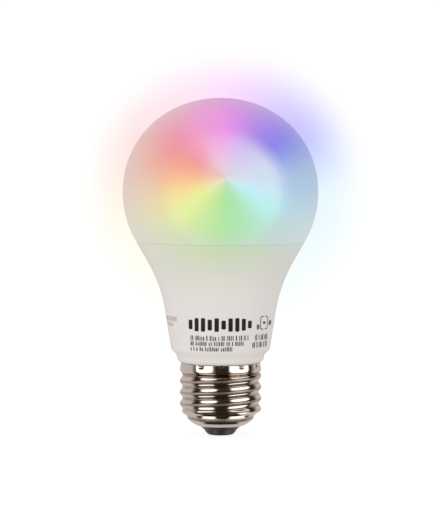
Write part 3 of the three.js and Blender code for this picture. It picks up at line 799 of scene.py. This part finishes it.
def make_tip():
    insulator = rounded([
        (1.3, 5.2),
        (1.3, 0.45),
        (3.0, 0.45),
        (3.1, 0.14, 0.15),
        (3.95, 0.2, 0.5),
        (4.65, 0.8, 0.5),
        (5.07, 1.44, 0.6),
        (5.6, 2.1, 0.6),
        (6.4, 2.75, 0.4),
        (6.55, 3.1),
        (6.55, 3.6),
        (7.4, 3.65, 0.2),
        (7.4, 4.6, 0.3),
        (6.3, 5.2, 0.3),
    ])
    make_object("base_plug", *turned(insulator, 96), black_glaze(), "black_glaze", "base_insulator")
    rivet = rounded([
        (0, 0.0),
        (2.3, 0.0, 0.3),
        (2.85, 0.12, 0.2),
        (2.9, 0.38, 0.05),
        (1.15, 0.4),
        (1.15, 5.22),
        (1.9, 5.26, 0.1),
        (1.8, 5.7, 0.2),
        (0.9, 6.3, 0.4),
        (0, 6.4),
    ])
    make_object("tip_contact", *turned(rivet, 64), contact_metal(), "brass", "centre_contact")


# ---- Print on the housing --------

INK_THICKNESS = 0.03


class Print:
    """Thin marks wrapped on the housing. Places are millimetres round it from the front, and up."""

    def __init__(self):
        self.vertices, self.faces = [], []

    def on_surface(self, along, height, depth):
        radius = outline_radius(height)
        azimuth = along / radius - math.pi / 2
        radius += depth
        return (radius * math.cos(azimuth), radius * math.sin(azimuth), height)

    def plate(self, rows, looped=False):
        """A closed thin plate over a grid of places, whose rows may each run round a loop."""
        count, width = len(rows), len(rows[0])
        base = len(self.vertices)
        for depth in (INK_THICKNESS, -INK_THICKNESS):
            self.vertices += [self.on_surface(u, v, depth) for row in rows for u, v in row]
        under = count * width
        across = range(width if looped else width - 1)
        for j in range(count - 1):
            for i in across:
                a, b = base + j * width + i, base + j * width + (i + 1) % width
                top = (a, b, b + width, a + width)
                self.faces += [top, tuple(corner + under for corner in reversed(top))]

        def wall(first, second):
            return (first, second, second + under, first + under)

        last, end = (count - 1) * width, width - 1
        for i in across:
            a, b = base + i, base + (i + 1) % width
            self.faces += [wall(b, a), wall(a + last, b + last)]
        if not looped:
            for a in range(base, base + last, width):
                self.faces += [wall(a, a + width), wall(a + width + end, a + end)]

    def bar(self, left, right, low, high, corner=0.1):
        """A bar with rounded corners."""
        corner = min(corner, (high - low) / 2, (right - left) / 2)
        bends = [(corner * (1 - math.cos(a)), corner * (1 - math.sin(a))) for a in steps(3, 0, math.pi / 2)]
        rows = [(low + rise, inset) for rise, inset in bends]
        rows += [(high - rise, inset) for rise, inset in reversed(bends)]
        columns = max(1, math.ceil((right - left) / 0.5))
        self.plate([[(u, v) for u in steps(columns, left + inset, right - inset)] for v, inset in rows])

    def frame(self, u, v, width, height, corner, stroke):
        """A rounded frame about a centre."""
        rings = [rounded_frame(u, v, width, height, corner, 5, inset) for inset in (0.0, stroke)]
        self.plate([[place[:2] for place in ring] for ring in rings], looped=True)

    def ticks(self, left, right, low, high, draw):
        """A line of short upright ticks of uneven width, as small print looks from afar."""
        at = left
        while at < right - 0.2:
            width = min(draw.uniform(0.24, 0.5), right - at)
            cut = draw.choice((0.0, 0.0, 0.3))
            self.bar(at, at + width, low, high - cut, 0.1)
            at += width + draw.choice((0.2, 0.26, 0.7))

    def done(self, name, material):
        make_object(name, self.vertices, self.faces, material, "housing_plastic", sharp=20)


def make_print():
    """A generic bar-graph mark, a framed dot beside it and lines of ticks under both."""
    draw = random.Random(7)
    mark = Print()
    left, pitch, width, middle = -10.6, 2.18, 1.38, 36.65
    heights = (1.5, 2.1, 2.15, 1.7, 2.15, 1.4, 2.1, 2.15, 1.9, 1.2)
    for i, half in enumerate(heights):
        start = left + i * pitch
        mark.bar(start, start + width, middle - half, middle + half, 0.3)
    mark.done("print_mark", ink("ink_black", "#17130f", "#2b2622", 0.25))
    small = Print()
    for low, high, right in ((31.6, 33.2, 9.2), (29.95, 31.3, 7.7), (28.25, 29.65, 3.9)):
        small.ticks(-10.0, right, low, high, draw)
    small.frame(16.0, 36.9, 4.1, 4.4, 0.9, 0.36)
    small.bar(15.3, 16.7, 36.5, 37.3, 0.3)
    small.bar(12.5, 13.6, 34.9, 36.5, 0.3)
    small.bar(18.7, 20.6, 35.9, 37.4, 0.3)
    small.ticks(11.9, 18.4, 31.4, 33.4, draw)
    small.ticks(10.8, 18.6, 29.1, 31.0, draw)
    small.done("print_small", ink("ink_grey", "#4e4743", "#746d68", 0.3))
    faint = Print()
    faint.ticks(-23.8, -16.0, 37.3, 38.9, draw)
    faint.ticks(-23.2, -18.4, 35.5, 37.0, draw)
    faint.done("print_faint", ink("ink_faint", "#a39b97", "#bdb6b2", 0.3))


# ---- Inside: the CAD model's own pieces --------

SHARP = math.radians(35)


def make_shading():
    """A modifier's node group: smooth faces, with the edges that turn sharply left sharp."""
    group = bpy.data.node_groups.new("shading", "GeometryNodeTree")
    for way in ("INPUT", "OUTPUT"):
        group.interface.new_socket("Geometry", in_out=way, socket_type="NodeSocketGeometry")
    tree = Nodes(group)
    start = tree.node("NodeGroupInput").outputs[0]
    bare = tree.node("GeometryNodeRemoveAttribute", {"Geometry": start, "Name": "custom_normal"}).outputs[0]
    faces = tree.node("GeometryNodeSetShadeSmooth", {"Geometry": bare, "Shade Smooth": True}).outputs[0]
    angle = tree.node("GeometryNodeInputMeshEdgeAngle").outputs["Unsigned Angle"]
    turned_sharply = tree.math("GREATER_THAN", angle, SHARP)
    inputs = {"Geometry": faces, "Selection": turned_sharply, "Shade Smooth": False}
    edges = tree.node("GeometryNodeSetShadeSmooth", inputs, domain="EDGE").outputs[0]
    tree.node("NodeGroupOutput", {0: edges})
    return group


shading = make_shading()


def numbered(prefix):
    return sorted(name for name in nodes if name.startswith(prefix))


def finish(prefix, material, bevel=0.08):
    """Gives the CAD nodes whose names start so their material and, by modifiers, softened edges
    and smooth shading."""
    for name in numbered(prefix):
        node = nodes[name]
        for place in node.material_slots:
            place.link = "OBJECT"
            place.material = material
        weld = node.modifiers.new("weld", "WELD")
        weld.merge_threshold = 0.001 * MM
        if bevel:
            soften(node, bevel).angle_limit = SHARP
        node.modifiers.new("shading", "NODES").node_group = shading


def finish_cad_nodes():
    tinned = metal("tinned", "#bdbcb6", "#d0cfc9", 0.3, 0.3)
    gold = metal("gold_flash", "#c9a54e", "#dcbc6a", 0.25, 0.26)
    nylon = moulded("black_nylon", "#18181a", "#232325", 0.15, 0.5)
    package = moulded("led_package", "#e9e8e2", "#f4f3ee", 0.2, 0.45)
    finish("heat_sink_cup", brushed_sheet(), 0.15)
    finish("thermal_pad", gap_filler(), 0.05)
    finish("led_board", circuit("white_board", "x", "y", "#eeeeea", "#dfe1dc", "#d8cda8"), 0.05)
    finish("led_white_", package, 0.06)
    finish("led_rgb_", package, 0.06)
    finish("board_screw_", metal("zinc_plate", "#a9acae", "#bfc1c1", 0.4, 0.3), 0.05)
    finish("driver_board", circuit("green_board", "x", "z", "#17482c", "#256a43", "#cfc7b0"), 0.05)
    finish("wifi_board", circuit("black_board", "x", "z", "#14171c", "#23282f", "#c9a54e"), 0.04)
    finish("header_strip", nylon)
    finish("board_socket", nylon)
    finish("header_pin_", gold, 0.06)
    finish("wifi_shield_can", tinned, 0.2)
    finish("wifi_antenna", gold, 0.02)
    finish("transformer_core", moulded("ferrite", "#2c2c2f", "#434347", 0.2, 0.72, 0.02), 0.15)
    finish("transformer_bobbin", moulded("phenolic", "#1f1916", "#2f2722", 0.3, 0.42))
    blue = can_sleeve("blue_sleeve", "#1d2c4d", "#c9ccd4", (0, -5.4), 4.0, 12.0, 25.8)
    finish("bulk_capacitor", blue, 0.1)
    black = can_sleeve("black_sleeve", "#17181c", "#b9b293", (9.9, -4.3), 3.1, 40.2, 48.2)
    finish("output_capacitor", black, 0.1)
    finish("film_capacitor", film_box(), 0.3)
    chips = (("bridge_rectifier", 4.8, 3.9), ("driver_ic", 4.9, 3.9), ("regulator_ic", 6.5, 3.6))
    for name, width, height in chips:
        epoxy = chip_package(name + "_epoxy", extent(name)[0], width / 2, height / 2)
        finish(name, epoxy, 0.05)
    finish("filter_inductor", moulded("drum_ferrite", "#303033", "#454549", 0.2, 0.7, 0.02), 0.1)
    finish("fuse_resistor", banded_resistor(), 0)
    finish("varistor", dipped_disc(), 0.3)
    finish("live_lead", moulded("red_insulation", "#9c1f1c", "#b42a25", 0.8, 0.42), 0)
    finish("neutral_lead", tinned, 0)


# ---- Inside: pieces finer than the CAD model's --------


def make_seal():
    """The bead of silicone under the globe's skirt, as uneven as it was laid."""
    draw = random.Random(3)
    waves = [(draw.randint(2, 9), draw.uniform(0, 2 * math.pi)) for _ in range(5)]
    top = SEAM_Z - SKIRT_DEPTH - 0.15
    middle, outer = top - 0.7, on_shoulder(top - 0.75, HOUSING_WALL + 0.1)[0]
    around, section = circle(144), circle(12)
    vertices = []
    for a in around:
        swell = 1 + 0.07 * sum(math.sin(n * a + start) for n, start in waves) / len(waves) ** 0.5
        for t in section:
            rise = 0.62 * math.sin(t)
            r = outer - 0.66 + 0.56 * swell * math.cos(t) + 0.5 * rise
            vertices.append((r * math.cos(a), r * math.sin(a), middle + rise))
    faces = grid_faces(len(around), len(section), loop_rows=True)
    look = moulded("silicone_bead", "#e2e2da", "#eeeee8", 0.9, 0.6, 0.03)
    make_object("seal_bead", vertices, faces, look, "silicone", "diffuser_seal")


def coil(outline, low, high, turns, wire, inner):
    """Vertices and faces of a layer of round wire wound on an outline of (x, y, outward) places."""
    per_turn, rows = 6, []
    for i in range(turns * per_turn + 1):
        z = low + (high - low) * i / (turns * per_turn)
        bulge = wire * abs(math.sin(math.pi * i / per_turn)) ** 0.7
        rows.append([(x + bulge * nx, y + bulge * ny, z) for x, y, nx, ny in outline])
    for z in (high, low):
        rows.append([(x - inner * nx, y - inner * ny, z) for x, y, nx, ny in outline])
    return [v for row in rows for v in row], grid_faces(len(rows), len(outline), loop_rows=True)


def copper(name, pitch):
    """Enamelled wire: clear varnish over copper, each turn a little different."""
    look = Look(name, Metallic=1.0, Coat_Weight=0.6, Coat_Roughness=0.15)
    turn = {"W": look.math("FLOOR", look.over(look.z, pitch))}
    turn = look.node("ShaderNodeTexWhiteNoise", turn, noise_dimensions="1D").outputs["Value"]
    look.colour(look.mix(turn, "#a85a30", "#c47a48"))
    look.roughness(look.noise(0.3), 0.24, 0.38)
    look.relief((look.noise(0.2, 2, 0.5, (1, 1, 0.2)), 0.005))
    return look.material


def make_windings():
    middle, size, top = extent("transformer_winding")
    wire, corner, turns = 0.12, 1.4, 22
    outline = rounded_frame(middle.x, middle.y, size.x - 2 * wire, size.y - 2 * wire, corner, 8)
    winding = coil(outline, top.z - size.z, top.z, turns, wire, 1.2)
    look = copper("copper_wire", size.z / turns)
    make_object("primary_winding", *winding, look, "copper", "transformer_winding", sharp=80)
    _, size, top = extent("filter_inductor")
    axis, radius, flange, turns = 4.4, 2.87, 1.3, 24
    ways = [(math.cos(a), math.sin(a)) for a in circle(48)]
    outline = [(radius * c, axis + radius * s, c, s) for c, s in ways]
    low, high = top.z - size.z + flange, top.z - flange
    winding = coil(outline, low, high, turns, 0.14, 0.32)
    look = copper("inductor_wire", (high - low) / turns)
    make_object("inductor_winding", *winding, look, "copper", sharp=80)


def boxes(places):
    """Vertices and faces of boxes, each a (middle, half size, turn about Z)."""
    vertices, faces = [], []
    for (x, y, z), (dx, dy, dz), turn in places:
        base, c, s = len(vertices), math.cos(turn), math.sin(turn)
        for k in range(8):
            px, py, pz = (dx if k & 1 else -dx), (dy if k & 2 else -dy), (dz if k & 4 else -dz)
            vertices.append((x + px * c - py * s, y + px * s + py * c, z + pz))
        for face in ((0, 2, 3, 1), (4, 5, 7, 6), (0, 1, 5, 4), (2, 6, 7, 3), (0, 4, 6, 2), (1, 3, 7, 5)):
            faces.append(tuple(base + k for k in face))
    return vertices, faces


def domes(places, rings=5, sides=14):
    """Vertices and faces of round domes, each a (foot, radius, height, direction)."""
    vertices, faces = [], []
    for foot, radius, height, direction in places:
        base, foot, up = len(vertices), Vector(foot), Vector(direction)
        side = up.orthogonal().normalized()
        other = up.cross(side)
        for j in range(rings):
            a = math.pi / 2 * j / rings
            for t in circle(sides):
                flat = (side * math.cos(t) + other * math.sin(t)) * radius * math.cos(a)
                vertices.append(tuple(foot + flat + up * height * math.sin(a)))
        vertices += [tuple(foot + up * height), tuple(foot)]
        tip, middle = len(vertices) - 2, len(vertices) - 1
        last = base + (rings - 1) * sides
        faces += [tuple(base + k for k in face) for face in grid_faces(rings, sides)]
        for i in range(sides):
            after = (i + 1) % sides
            faces += [(last + i, last + after, tip), (base + after, base + i, middle)]
    return vertices, faces


def phosphor():
    look = Look("phosphor", Roughness=0.5)
    grains = look.noise(0.08, 3)
    look.colour(look.mottle(grains, "#e2c23c", "#f2da62"))
    look.relief((grains, 0.01), (look.noise(0.6), 0.02))
    return look.material


def make_led_fills():
    """Domes of phosphor in the white LEDs' wells, and three dies on each colour LED's well floor."""
    well, fill_radius, die_reach = 0.3, 1.06, 0.8
    fills, dies = [], {"red": [], "green": [], "blue": []}
    for name in numbered("led_white_"):
        middle, _, top = extent(name)
        foot = (middle.x, middle.y, top.z - well + 0.02)
        fills.append((foot, fill_radius, well - 0.04, (0, 0, 1)))
    for name in numbered("led_rgb_"):
        middle, _, top = extent(name)
        turn = math.atan2(middle.y, middle.x)
        for a, colour in zip(circle(3), dies):
            x, y = middle.x + die_reach * math.cos(turn + a), middle.y + die_reach * math.sin(turn + a)
            dies[colour].append(((x, y, top.z - well + 0.08), (0.26, 0.26, 0.07), turn))
    make_object("phosphor_fills", *domes(fills), phosphor(), "led_phosphor")
    shades = (("#8e2a1e", "#b0483a"), ("#3f7a4a", "#5c9a66"), ("#36508e", "#5672b0"))
    for (colour, places), pair in zip(dies.items(), shades):
        look = moulded(f"{colour}_die", *pair, 0.06, 0.25, 0.004)
        soften(make_object(f"{colour}_dies", *boxes(places), look, "led_colour"), 0.02)


def make_small_parts():
    """Chip resistors and capacitors with tinned ends, and the solder joints of the parts with legs."""
    face, top = 0.6, extent("led_board")[2].z
    chips = [((-0.4, 33 + 2 * i), "driver", i % 2) for i in range(5)]
    chips += [((10.4, 35.5 + 2.4 * i), "driver", (i + 1) % 2) for i in range(3)]
    chips += [((-9.9, 35 + 2.2 * i), "driver", i % 2) for i in range(4)]
    chips += [((x, y), "light", (x > 0) == (y > 0)) for x in (-3.2, 3.2) for y in (-6.2, 5.6)]
    kinds = {True: ([], []), False: ([], [])}
    for (u, v), board, is_resistor in chips:
        rise = 0.28 if is_resistor else 0.42
        bodies, ends = kinds[is_resistor]
        if board == "driver":
            middle, half, cap = (u, face + rise, v), (0.72, rise - 0.03, 0.6), (0.16, rise, 0.62)
        else:
            middle, half, cap = (u, v, top + rise), (0.72, 0.6, rise - 0.03), (0.16, 0.62, rise)
        bodies.append((middle, half, 0))
        ends += [((middle[0] + side * 0.84, middle[1], middle[2]), cap, 0) for side in (-1, 1)]
    tin = metal("chip_ends", "#bdbcb6", "#d2d1cc", 0.2, 0.32)
    black = moulded("chip_resistor", "#17171a", "#242428", 0.1, 0.5, 0.004)
    brown = moulded("chip_capacitor", "#8a6a4c", "#a3825f", 0.12, 0.6, 0.006)
    looks = {True: ("chip_resistors", black, "black_epoxy"), False: ("chip_capacitors", brown, "ferrite")}
    for kind, (bodies, ends) in kinds.items():
        name, look, slot = looks[kind]
        soften(make_object(name, *boxes(bodies), look, slot), 0.04)
        soften(make_object(name + "_ends", *boxes(ends), tin, "tinned_metal"), 0.05)
    back = [(-1.75, 26.9), (1.75, 26.9), (8.65, 39.2), (11.15, 39.2), (-3.8, 31.8), (3.8, 31.8)]
    back += [(-3.6, 36.7), (3.6, 36.7), (-7.4, 14.5)]
    front = [(-2, 14.35), (2, 14.35), (-4.5, 12.6), (4.5, 12.6), (-6.5, 27.3), (-3.3, 27.3), (6.9, 15.4)]
    joints = [((x, face, z), 0.42, 0.4, (0, 1, 0)) for x, z in back]
    joints += [((x, -face, z), 0.42, 0.4, (0, -1, 0)) for x, z in front]
    solder = metal("solder", "#c2c3c2", "#d6d6d3", 0.3, 0.22)
    make_object("solder_joints", *domes(joints), solder, "tinned_metal")


# ---- Stage --------


def make_floor():
    """A round white table top that glows a little, so that it meets the white backdrop unseen."""
    look = Look("floor_paper", Roughness=0.9, Emission_Strength=0.9, Specular_IOR_Level=0.0)
    grain = look.noise(40)
    look.colour(look.mix(grain, "#787878", "#7c7c7c"))
    look.colour(look.mix(grain, "#fbfbfb", "#ffffff"), "Emission Color")
    disc = turned([(0, -2.0), (260, -2.0), (260, 0.0), (0, 0.0)], 96)
    floor = new_piece("floor", *disc, look.material)
    floor.visible_glossy = False
    floor.visible_diffuse = False


def make_world():
    """White with the halo of the bulb's glow to the camera, an even fill to matt surfaces, and a
    studio of lamps to shiny ones."""
    world = bpy.data.worlds.new("studio")
    world.use_nodes = True
    bpy.context.scene.world = world
    world.node_tree.nodes.clear()
    tree = Nodes(world.node_tree)
    direction = tree.node("ShaderNodeTexCoord").outputs["Generated"]
    path = tree.node("ShaderNodeLightPath").outputs
    halo = glow_halo(tree, direction)
    seen = tree.node("ShaderNodeBackground", {"Color": halo, "Strength": 1.02}).outputs[0]
    studio = tree.node("ShaderNodeBackground", {"Color": reflected_studio(tree, direction)}).outputs[0]
    fill = tree.node("ShaderNodeBackground", {"Color": (FILL, FILL, FILL, 1)}).outputs[0]
    lit = tree.node("ShaderNodeMixShader", {0: path["Is Glossy Ray"], 1: fill, 2: studio}).outputs[0]
    world_light = tree.node("ShaderNodeMixShader", {0: path["Is Camera Ray"], 1: lit, 2: seen}).outputs[0]
    tree.node("ShaderNodeOutputWorld", {"Surface": world_light})


def glow_halo(tree, direction):
    """The air behind the globe takes on its colours, strongest at its edge and gone a little out."""
    x, y, z = tree.axes(direction)
    across, up = (tree.over(side, tree.math("MAXIMUM", y, 0.01)) for side in (x, z))
    up = tree.plus(up, (CAMERA[2] - GLOBE_Z * MM) / -CAMERA[1])
    edge = GLOBE_RADIUS * MM / -CAMERA[1]
    reach = tree.hypotenuse(across, up)
    colour = wheel_ramp(tree, turn_of(tree, across, up), HALO_WHEEL)
    spread = tree.fit(tree.over(across, reach), -0.2, 0.9, edge * 1.59, edge * 1.7)
    fade = tree.fall(reach, edge * 0.88, spread, "SMOOTHERSTEP")
    return tree.mix(tree.both(fade, tree.math("GREATER_THAN", y, 0.0)), "#ffffff", colour)


def reflected_studio(tree, direction):
    """What shiny surfaces mirror, by how a mirror at the front would have to face to show it.

    The turn is to the right and the tilt is upwards, both in degrees. On each side of a dark gap
    stands a dim column with a rounded lamp up high, a wide one just above the level and a thinner
    one down low. Further round everything is pale.
    """
    across, front, up = tree.axes(tree.vector("ADD", direction, TO_CAMERA))
    back = tree.times(front, -1.0)
    turn = tree.math("DEGREES", tree.math("ARCTAN2", across, back))
    tilt = tree.math("DEGREES", tree.math("ARCTAN2", up, tree.hypotenuse(across, back)))

    def window(value, low, high, blur):
        return tree.between(value, low - blur, low + blur, high - blur, high + blur)

    def out_of(middle, width, height, high, power):
        """How far each direction is out of a rounded lamp, where 1 is its edge."""
        far = tree.power(tree.over(tree.minus(turn, middle), width), power)
        return tree.plus(far, tree.power(tree.over(high, height), 2))

    def high_and_low_lamp(middle, width):
        centre = tree.fit(tilt, -1.0, 1.0, 35.5, 38.0)
        height = tree.fit(tilt, -1.0, 1.0, 7.5, 10.0)
        high = tree.minus(tree.off(tilt), centre)
        return tree.fall(out_of(middle, width, height, high, 2), 0.75, 1.15)

    def level_lamp(middle, width):
        centre, height = 8.5, 6.5
        return tree.fall(out_of(middle, width, height, tree.minus(tilt, centre), 4), 0.8, 1.1)

    column = tree.either(window(turn, -32.5, -8.5, 3.0), window(turn, 13.5, 42.0, 3.0))
    lamps = tree.either(high_and_low_lamp(-19.5, 12.5), high_and_low_lamp(29.0, 16.0))
    lamps = tree.either(lamps, tree.either(level_lamp(-24.0, 13.5), level_lamp(28.2, 15.8)))
    above = tree.fit(tilt, -43.0, -41.0)
    wide = window(tilt, 10.0, 42.0, 6.0)
    left, right = tree.plus(turn, tree.times(wide, 5.0)), tree.minus(turn, tree.times(wide, 8.0))
    gap = tree.both(tree.fit(left, -45.5, -36.5), tree.fall(right, 46.0, 58.0))
    under = tree.both(window(turn, -31.0, 34.0, 5.0), window(tilt, -51.0, -42.0, 1.5))
    room = tree.mix(tree.either(tree.both(gap, above), under), "#d4cbc4", "#2e251c")
    dim = tree.mix(tree.fit(turn, 0.0, 8.0), "#8f8070", "#9c8e7e")
    dim = tree.mix(window(tilt, -2.0, 14.0, 4.0), "#5c4e40", dim)
    room = tree.mix(tree.both(column, above), room, dim)
    return tree.mix(tree.both(lamps, above), room, (1.7, 1.64, 1.58, 1))


bpy.context.scene.view_settings.view_transform = "Standard"
make_camera()
make_world()
make_floor()
make_softbox("softbox_left", -36, (0.52, 0.60), 0.85)
make_softbox("softbox_right", 54, (0.58, 0.60), 0.35)

make_globe()
make_housing()
make_screw_shell()
make_tip()
make_print()
finish_cad_nodes()
make_seal()
make_windings()
make_led_fills()
make_small_parts()
